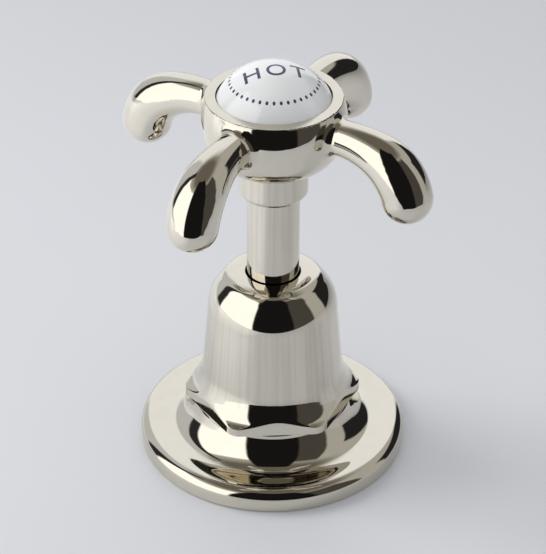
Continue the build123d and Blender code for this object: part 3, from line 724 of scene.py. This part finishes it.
class SIDEVALVE_OT_bell(Operator):
    """Shape the bell with its soft hexagon skirt"""

    bl_idname = "sidevalve.bell"
    bl_label = "Bell cover"

    def execute(self, context):
        settings = context.scene.sidevalve_bell
        seat = context.scene.sidevalve_flange.seat_height
        line, outside = bell_outline(settings, seat)
        outer = set(id(place) for place in line[:outside])
        edge = edge_round
        lean = tan(settings.flat_lean)
        blend = settings.edge_blend

        def cut_skirt(angle, place):
            """Radius of the bell at one place, cut by the flats and softened along the cut."""
            if id(place) not in outer:
                return place.x
            height = place.y - seat
            flat = hexagon_reach(angle, settings) - height * lean
            if height < edge:
                flat -= edge - sqrt(edge**2 - (edge - height) ** 2)
            near = max(blend - abs(place.x - flat), 0.0)
            return min(place.x, flat) - near**2 / (4 * blend)

        material = turned_nickel(context.scene.sidevalve_finish)
        piece = spun_piece("bell_shell", line, settings.segments, material, cut_skirt)
        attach(piece, "valve")
        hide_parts("bell_cover")
        return {"FINISHED"}


class SIDEVALVE_OT_flange(Operator):
    """Turn the deck flange with its hollow cove and rounded rim"""

    bl_idname = "sidevalve.flange"
    bl_label = "Deck flange"

    def execute(self, context):
        settings = context.scene.sidevalve_flange
        material = turned_nickel(context.scene.sidevalve_finish)
        piece = spun_piece("flange_shell", flange_outline(settings), settings.segments, material)
        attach(piece, "valve")
        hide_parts("deck_flange")
        return {"FINISHED"}


class SIDEVALVE_OT_polish(Operator):
    """Polish the handle, the sleeve, the bell and the flange"""

    bl_idname = "sidevalve.polish"
    bl_label = "Polished nickel"

    def execute(self, context):
        settings = context.scene.sidevalve_finish
        dress(["cross_handle"], cast_nickel(settings))
        dress(["spindle_sleeve", "bell_cover", "deck_flange"], turned_nickel(settings))
        return {"FINISHED"}


class SIDEVALVE_OT_glaze(Operator):
    """Glaze the porcelain index"""

    bl_idname = "sidevalve.glaze"
    bl_label = "Glazed porcelain"

    def execute(self, context):
        dress(["porcelain_index"], glazed_porcelain(context.scene.sidevalve_finish))
        return {"FINISHED"}


def dome_ball(settings):
    """Centre height and radius of the ball that the porcelain dome is a part of."""
    low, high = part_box("porcelain_index")
    foot = (high.x - low.x) / 2
    ball = (foot**2 + settings.dome_rise**2) / (2 * settings.dome_rise)
    return high.z - ball, ball


def dome_point(x, y, lift, middle, ball):
    """Point on the dome above a place seen from the top, raised along the dome's normal."""
    outward = Vector((x, y, sqrt(ball**2 - x**2 - y**2))).normalized()
    return Vector((0.0, 0.0, middle)) + outward * (ball + lift)


def flat_letters(word, height, depth):
    """Mesh of a word in a plain sans face, centred on the origin, as a thin closed plate."""
    curve = bpy.data.curves.new("word", "FONT")
    curve.body = word
    curve.align_x = "CENTER"
    curve.space_character = letter_spacing
    curve.size = height / cap_share
    curve.offset = letter_swell * curve.size
    curve.extrude = depth / 2
    curve.resolution_u = 6
    holder = bpy.data.objects.new("word", curve)
    bpy.context.scene.collection.objects.link(holder)
    evaluated = holder.evaluated_get(bpy.context.evaluated_depsgraph_get())
    mesh = bpy.data.meshes.new_from_object(evaluated)
    bpy.data.objects.remove(holder)
    bpy.data.curves.remove(curve)
    return mesh


def cut_in_grid(work, step):
    """Cut a flat mesh along a square grid, so that it can follow a curved face."""
    for axis in (0, 1):
        places = [v.co[axis] for v in work.verts]
        low = min(places)
        count = ceil((max(places) - low) / step)
        for line in range(1, count):
            point = Vector((0.0, 0.0, 0.0))
            normal = Vector((0.0, 0.0, 0.0))
            point[axis] = low + line * step
            normal[axis] = 1.0
            everything = work.verts[:] + work.edges[:] + work.faces[:]
            bmesh.ops.bisect_plane(work, geom=everything, dist=1e-8, plane_co=point, plane_no=normal)


def legend_word(settings, material):
    """The word in the middle of the index, laid on the dome."""
    mesh = flat_letters(settings.word, settings.letter_height, 2 * settings.glaze_height)
    work = bmesh.new()
    work.from_mesh(mesh)
    bmesh.ops.remove_doubles(work, verts=work.verts, dist=1e-7)
    cut_in_grid(work, print_grid)
    bmesh.ops.triangulate(work, faces=[f for f in work.faces if len(f.verts) > 4])
    centre, ball = dome_ball(settings)
    middle = settings.letter_height / 2
    for vert in work.verts:
        across = vert.co.x
        along = vert.co.y - middle
        x = across * cos(settings.turn) - along * sin(settings.turn)
        y = across * sin(settings.turn) + along * cos(settings.turn) - settings.word_drop
        vert.co = dome_point(x, y, vert.co.z, centre, ball)
    work.to_mesh(mesh)
    work.free()
    return new_piece("index_word", mesh, material)


def dot_ring_tree():
    """Geometry nodes that set small dots in a ring about Z and raise them to a ball's surface."""
    tree = bpy.data.node_groups.new("dot_ring", "GeometryNodeTree")
    face = tree.interface
    face.new_socket("Geometry", in_out="OUTPUT", socket_type="NodeSocketGeometry")
    face.new_socket("Count", in_out="INPUT", socket_type="NodeSocketInt")
    for name in ("Ring radius", "Dot radius", "Dot height", "Ball radius", "Ball height"):
        face.new_socket(name, in_out="INPUT", socket_type="NodeSocketFloat")
    face.new_socket("Material", in_out="INPUT", socket_type="NodeSocketMaterial")
    board = Board(tree)
    given = board.node("NodeGroupInput")
    ring = board.node(
        "GeometryNodeCurvePrimitiveCircle",
        {"mode": "RADIUS"},
        {"Resolution": given, "Radius": given.output("Ring radius")},
    )
    dot = board.node(
        "GeometryNodeMeshUVSphere",
        None,
        {"Segments": 16, "Rings": 8, "Radius": given.output("Dot radius")},
    )
    points = board.node("GeometryNodeCurveToPoints", {"mode": "EVALUATED"}, {"Curve": ring})
    placed = board.node("GeometryNodeInstanceOnPoints", None, {"Points": points, "Instance": dot})
    real = board.node("GeometryNodeRealizeInstances", None, {"Geometry": placed})
    x, y, z = board.axes(board.node("GeometryNodeInputPosition"))
    ball = given.output("Ball radius")
    share = z / given.output("Dot radius")
    reach = ball + share * given.output("Dot height")
    height = board.maths("SQRT", ball * ball - x * x - y * y)
    lift = given.output("Ball height") + height * reach / ball
    spot = board.vector(x * reach / ball, y * reach / ball, lift)
    raised = board.node("GeometryNodeSetPosition", None, {"Geometry": real, "Position": spot})
    smooth = board.node("GeometryNodeSetShadeSmooth", None, {"Geometry": raised})
    painted = board.node(
        "GeometryNodeSetMaterial", None, {"Geometry": smooth, "Material": given.output("Material")}
    )
    board.node("NodeGroupOutput", None, {"Geometry": painted})
    return tree


def grown_mesh(tree, values):
    """Plain mesh of a geometry node tree with its inputs set by name."""
    holder = bpy.data.objects.new("holder", bpy.data.meshes.new("holder"))
    bpy.context.scene.collection.objects.link(holder)
    modifier = holder.modifiers.new("grow", "NODES")
    modifier.node_group = tree
    for item in tree.interface.items_tree:
        if item.name in values:
            modifier[item.identifier] = values[item.name]
    evaluated = holder.evaluated_get(bpy.context.evaluated_depsgraph_get())
    mesh = bpy.data.meshes.new_from_object(evaluated)
    bpy.data.objects.remove(holder)
    return mesh


def legend_dots(settings, material):
    """The ring of dots round the word."""
    centre, ball = dome_ball(settings)
    values = {
        "Count": settings.dot_count,
        "Ring radius": settings.ring_radius,
        "Dot radius": settings.dot_radius,
        "Dot height": settings.glaze_height,
        "Ball radius": ball,
        "Ball height": centre,
        "Material": material,
    }
    return new_piece("index_dots", grown_mesh(dot_ring_tree(), values), material)


class SIDEVALVE_OT_legend(Operator):
    """Lay the word and its ring of dots on the porcelain"""

    bl_idname = "sidevalve.legend"
    bl_label = "Legend"

    def execute(self, context):
        material = legend_glaze(context.scene.sidevalve_finish)
        settings = context.scene.sidevalve_legend
        for piece in (legend_word(settings, material), legend_dots(settings, material)):
            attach(piece, "handle")
        return {"FINISHED"}


class SIDEVALVE_OT_inner_parts(Operator):
    """Finish the brass, steel, ceramic and plastic parts of the headwork and the clamp"""

    bl_idname = "sidevalve.inner_parts"
    bl_label = "Headwork and clamp"

    def execute(self, context):
        settings = context.scene.sidevalve_finish
        brass = [
            "index_carrier",
            "spindle_extension",
            "spindle",
            "headwork_body",
            "threaded_shank",
            "riser_tube",
            "valve_body",
            "clamp_washer",
            "back_nut",
        ]
        dress(brass, machined_brass(settings))
        dress(["handle_screw", "lock_washer", "circlip"], stainless_steel(settings))
        dress(["moving_disc", "fixed_disc"], lapped_ceramic(settings))
        dress(["thrust_washer"], turned_acetal(settings))
        return {"FINISHED"}


class SIDEVALVE_OT_seals(Operator):
    """Finish the rubber rings and washers"""

    bl_idname = "sidevalve.seals"
    bl_label = "Seals"

    def execute(self, context):
        seals = [
            "index_o_ring",
            "spindle_o_ring_upper",
            "spindle_o_ring_lower",
            "seat_gasket",
            "body_seal",
            "cover_seal",
            "deck_seal",
            "riser_seal",
            "under_deck_washer",
        ]
        dress(seals, moulded_rubber(context.scene.sidevalve_finish))
        return {"FINISHED"}


def thread_tree():
    """Geometry nodes that wind a ridge of diamond section round Z and taper it at both ends."""
    tree = bpy.data.node_groups.new("helical_ridge", "GeometryNodeTree")
    face = tree.interface
    face.new_socket("Geometry", in_out="OUTPUT", socket_type="NodeSocketGeometry")
    for name in ("Radius", "Turns", "Length", "Ridge height", "Ridge width", "Run-out"):
        face.new_socket(name, in_out="INPUT", socket_type="NodeSocketFloat")
    face.new_socket("Steps", in_out="INPUT", socket_type="NodeSocketInt")
    face.new_socket("Material", in_out="INPUT", socket_type="NodeSocketMaterial")
    board = Board(tree)
    radius = board.node("NodeGroupInput")
    turns = radius.output("Turns")
    helix = board.node(
        "GeometryNodeCurveSpiral",
        None,
        {
            "Resolution": radius.output("Steps"),
            "Rotations": turns,
            "Start Radius": radius,
            "End Radius": radius,
            "Height": radius.output("Length"),
            "Reverse": False,
        },
    )
    upright = board.node("GeometryNodeSetCurveNormal", {"mode": "Z_UP"}, {"Curve": helix})
    along = board.node("GeometryNodeSplineParameter")
    to_end = board.maths("MINIMUM", along, 1.0 - along) * turns / radius.output("Run-out")
    growth = board.maths("MINIMUM", to_end + 0.02, 1.0)
    tapered = board.node("GeometryNodeSetCurveRadius", None, {"Curve": upright, "Radius": growth})
    diamond = board.node(
        "GeometryNodeCurvePrimitiveCircle", {"mode": "RADIUS"}, {"Resolution": 4, "Radius": 1.0}
    )
    size = board.vector(radius.output("Ridge height"), radius.output("Ridge width") * 0.5, 1.0)
    section = board.node("GeometryNodeTransform", None, {"Geometry": diamond, "Scale": size})
    ridge = board.node(
        "GeometryNodeCurveToMesh",
        None,
        {"Curve": tapered, "Profile Curve": section, "Scale": growth, "Fill Caps": True},
    )
    real = board.node("GeometryNodeRealizeInstances", None, {"Geometry": ridge})
    painted = board.node(
        "GeometryNodeSetMaterial", None, {"Geometry": real, "Material": radius.output("Material")}
    )
    board.node("NodeGroupOutput", None, {"Geometry": painted})
    return tree


def grow_thread(tree, material, settings, size, start, end, turn):
    """One thread between two places on its axis, turned from Z to where it belongs."""
    radius, pitch = size
    length = end - start - pitch
    values = {
        "Radius": radius,
        "Turns": length / pitch,
        "Length": length,
        "Ridge height": pitch * settings.height_share,
        "Ridge width": pitch * settings.width_share,
        "Run-out": settings.runout,
        "Steps": settings.steps,
        "Material": material,
    }
    mesh = grown_mesh(tree, values)
    lift = Vector((0.0, 0.0, start + pitch / 2))
    mesh.transform(turn @ Matrix.Translation(lift))
    return mesh


def joined_piece(name, meshes, material):
    """One piece from several meshes, with its faces pointing outwards."""
    work = bmesh.new()
    for mesh in meshes:
        work.from_mesh(mesh)
    bmesh.ops.recalc_face_normals(work, faces=work.faces)
    whole = bpy.data.meshes.new(name)
    work.to_mesh(whole)
    work.free()
    return new_piece(name, whole, material)


class SIDEVALVE_OT_threads(Operator):
    """Wind the threads of the shank, the inlet and the outlet"""

    bl_idname = "sidevalve.threads"
    bl_label = "Threads"

    def execute(self, context):
        settings = context.scene.sidevalve_threads
        material = machined_brass(context.scene.sidevalve_finish)
        tree = thread_tree()
        upright = Matrix.Identity(4)
        shank_size = (settings.shank_radius, settings.shank_pitch)
        pipe_size = (settings.pipe_radius, settings.pipe_pitch)
        washer_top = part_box("under_deck_washer")[1].z
        nut_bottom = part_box("back_nut")[0].z
        tee_low, tee_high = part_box("valve_body")
        shank = [
            grow_thread(tree, material, settings, shank_size, low, high, upright)
            for low, high in ((washer_top, settings.shank_face), (tee_high.z, nut_bottom))
        ]
        outlet_level = Vector((0.0, 0.0, settings.outlet_level))
        outward = Matrix.Translation(outlet_level) @ Matrix.Rotation(pi / 2, 4, "Y")
        inlet = (tee_low.z + settings.end_bare, settings.inlet_shoulder, upright)
        outlet = (settings.outlet_shoulder, tee_high.x - settings.end_bare, outward)
        ways = [grow_thread(tree, material, settings, pipe_size, *way) for way in (inlet, outlet)]
        for name, meshes in (("shank_thread", shank), ("pipe_threads", ways)):
            piece = joined_piece(name, meshes, material)
            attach(piece, "valve")
        return {"FINISHED"}


def floor_surface(studio):
    """Plain pale floor with painted shade that darkens it towards the back, and a painted sunlit patch on
    its left that only mirrored light sees. In mirrored light it ends at the deck's front edge, where the
    dark room shows.
    """
    material, board = new_surface("plain_floor")
    place = board.place()
    x, y = board.axes(place)[:2]
    floor = studio.floor
    cloud = board.noise(place, 6.0, 3.0)
    shade = board.blend(board.ramp(cloud, 0.3, 0.7), rgba(floor), rgba(floor, 0.97))
    # Painted shade: the floor darkens towards the back
    painted_shade_to_back = board.ramp(y, -0.02, 0.3)
    shade = board.blend(painted_shade_to_back, shade, rgba(floor, 0.8))
    mirrored = board.node("ShaderNodeLightPath").output("Is Glossy Ray")
    # Painted light: in mirrored light the floor's left side is painted brighter, as a sunlit patch
    sunny_left = mirrored * (0.1 + 0.9 * board.ramp(-x, 0.03, 0.08))
    shade = board.blend(sunny_left, shade, rgba(floor, 1.3))
    plain = board.node("ShaderNodeBsdfPrincipled", None, {"Base Color": shade, "Roughness": 0.42})
    clear = board.node("ShaderNodeBsdfTransparent")
    beyond = board.ramp(-y, studio.top_edge, studio.top_edge + 0.004)
    both = board.node("ShaderNodeMixShader", None, {0: mirrored * beyond, 1: plain, 2: clear})
    board.node("ShaderNodeOutputMaterial", None, {"Surface": both})
    return material


def flat_plate(name, corners, material):
    """A single flat face."""
    mesh = bpy.data.meshes.new(name)
    mesh.from_pydata(corners, [], [tuple(range(len(corners)))])
    mesh.update()
    plate = new_piece(name, mesh, material)
    return plate


def room_surface():
    """What the polished metal mirrors: a pale room with a window, dark walls and a light back wall."""
    material, board = new_surface("mirrored_room")
    outward = board.node("ShaderNodeVectorMath", {"operation": "NORMALIZE"}, {0: board.place()})
    x, y, z = board.axes(outward)
    azimuth = board.maths("ARCTAN2", x, -y) * (180 / pi)
    height = board.maths("ARCSINE", z) * (180 / pi)
    shade = board.blend(board.ramp(height, 52.0, 70.0), rgba(wall_colour), rgba(ceiling_colour))
    for low, high, bottom, top, soft, colour in mirrored_patches:
        mask = board.span(azimuth, low, high, soft) * board.span(height, bottom, top, soft)
        shade = board.blend(mask, shade, rgba(colour))
    behind = board.ramp(abs(azimuth), 148.0, 154.0) * (1.0 - board.ramp(height, 45.0, 62.0))
    shade = board.blend(behind, shade, rgba(back_wall_colour))
    glow = board.node("ShaderNodeEmission", None, {"Color": shade, "Strength": 1.0})
    board.node("ShaderNodeOutputMaterial", None, {"Surface": glow})
    return material


def room_dome():
    """Large dome that only mirrored light meets."""
    mesh = bpy.data.meshes.new("mirrored_room")
    work = bmesh.new()
    bmesh.ops.create_uvsphere(work, u_segments=64, v_segments=32, radius=room_radius)
    bmesh.ops.reverse_faces(work, faces=work.faces)
    work.to_mesh(mesh)
    work.free()
    dome = new_piece("mirrored_room", mesh, room_surface())
    dome.visible_camera = False
    dome.visible_diffuse = False
    dome.visible_transmission = False
    dome.visible_volume_scatter = False
    dome.visible_shadow = False


def even_light(studio):
    """Plain world of one colour."""
    world = bpy.data.worlds.new("plain_world")
    world.use_nodes = True
    board = Board(world.node_tree)
    sockets = {"Color": rgba(studio.background), "Strength": studio.even_strength}
    glow = board.node("ShaderNodeBackground", None, sockets)
    board.node("ShaderNodeOutputWorld", None, {"Surface": glow})
    bpy.context.scene.world = world


def soft_lamp(name, place, power, width):
    """Large square lamp that looks at the valve and isn't mirrored."""
    light = bpy.data.lights.new(name, "AREA")
    light.shape = "SQUARE"
    light.size = width
    light.energy = power
    lamp = bpy.data.objects.new(name, light)
    lamp.location = place
    lamp.rotation_euler = (-Vector(place)).to_track_quat("-Z", "Y").to_euler()
    lamp.visible_glossy = False
    bpy.context.scene.collection.objects.link(lamp)


class SIDEVALVE_OT_studio(Operator):
    """Set up the floor, the lights and the camera"""

    bl_idname = "sidevalve.studio"
    bl_label = "Studio"

    def execute(self, context):
        studio = context.scene.sidevalve_studio
        signs = ((-1, -1), (1, -1), (1, 1), (-1, 1))
        corners = [(x * floor_reach, y * floor_reach, floor_level) for x, y in signs]
        flat_plate("plain_floor", corners, floor_surface(studio))
        room_dome()
        even_light(studio)
        soft_lamp("window_lamp", lamp_place, studio.lamp_power, lamp_width)
        lens = bpy.data.cameras.new("camera")
        lens.lens = studio.focal_length
        lens.sensor_width = sensor_width
        camera = bpy.data.objects.new("camera", lens)
        context.scene.collection.objects.link(camera)
        tilt = studio.camera_elevation
        back = Vector((0.0, -cos(tilt), sin(tilt))) * studio.camera_distance
        camera.location = Vector((0.0, 0.0, studio.aim_height)) + back
        turn = Euler((pi / 2 - tilt, 0.0, 0.0)).to_matrix()
        turn = turn @ Euler((0.0, 0.0, studio.camera_roll)).to_matrix()
        camera.rotation_euler = turn.to_euler()
        context.scene.camera = camera
        context.scene.view_settings.view_transform = "Standard"
        return {"FINISHED"}


class SIDEVALVE_PT_panel(Panel):
    """Buttons for the valve's finishes, bell, flange, legend, threads and studio."""

    bl_idname = "SIDEVALVE_PT_panel"
    bl_label = "Side valve"
    bl_space_type = "VIEW_3D"
    bl_region_type = "UI"
    bl_category = "Side valve"

    def draw(self, context):
        for operator in operators:
            self.layout.operator(operator.bl_idname)
        for name in groups:
            group = getattr(context.scene, name)
            box = self.layout.box()
            for prop in group.bl_rna.properties:
                if prop.identifier not in ("name", "rna_type"):
                    box.prop(group, prop.identifier)


groups = {
    "sidevalve_finish": FinishSettings,
    "sidevalve_flange": FlangeSettings,
    "sidevalve_bell": BellSettings,
    "sidevalve_legend": LegendSettings,
    "sidevalve_threads": ThreadSettings,
    "sidevalve_studio": StudioSettings,
}
operators = (
    SIDEVALVE_OT_polish,
    SIDEVALVE_OT_flange,
    SIDEVALVE_OT_bell,
    SIDEVALVE_OT_glaze,
    SIDEVALVE_OT_legend,
    SIDEVALVE_OT_inner_parts,
    SIDEVALVE_OT_seals,
    SIDEVALVE_OT_threads,
    SIDEVALVE_OT_studio,
)


def register():
    """Add the classes and the scene's settings."""
    for group in groups.values():
        bpy.utils.register_class(group)
    for operator in operators:
        bpy.utils.register_class(operator)
    bpy.utils.register_class(SIDEVALVE_PT_panel)
    for name, group in groups.items():
        setattr(bpy.types.Scene, name, PointerProperty(type=group))


def unregister():
    """Take the classes and the settings out again."""
    for name in groups:
        delattr(bpy.types.Scene, name)
    bpy.utils.unregister_class(SIDEVALVE_PT_panel)
    for operator in reversed(operators):
        bpy.utils.unregister_class(operator)
    for group in groups.values():
        bpy.utils.unregister_class(group)


def main():
    """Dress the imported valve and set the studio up."""
    register()
    bpy.ops.sidevalve.polish()
    bpy.ops.sidevalve.flange()
    bpy.ops.sidevalve.bell()
    bpy.ops.sidevalve.glaze()
    bpy.ops.sidevalve.legend()
    bpy.ops.sidevalve.inner_parts()
    bpy.ops.sidevalve.seals()
    bpy.ops.sidevalve.threads()
    bpy.ops.sidevalve.studio()


if __name__ == "__main__":
    main()
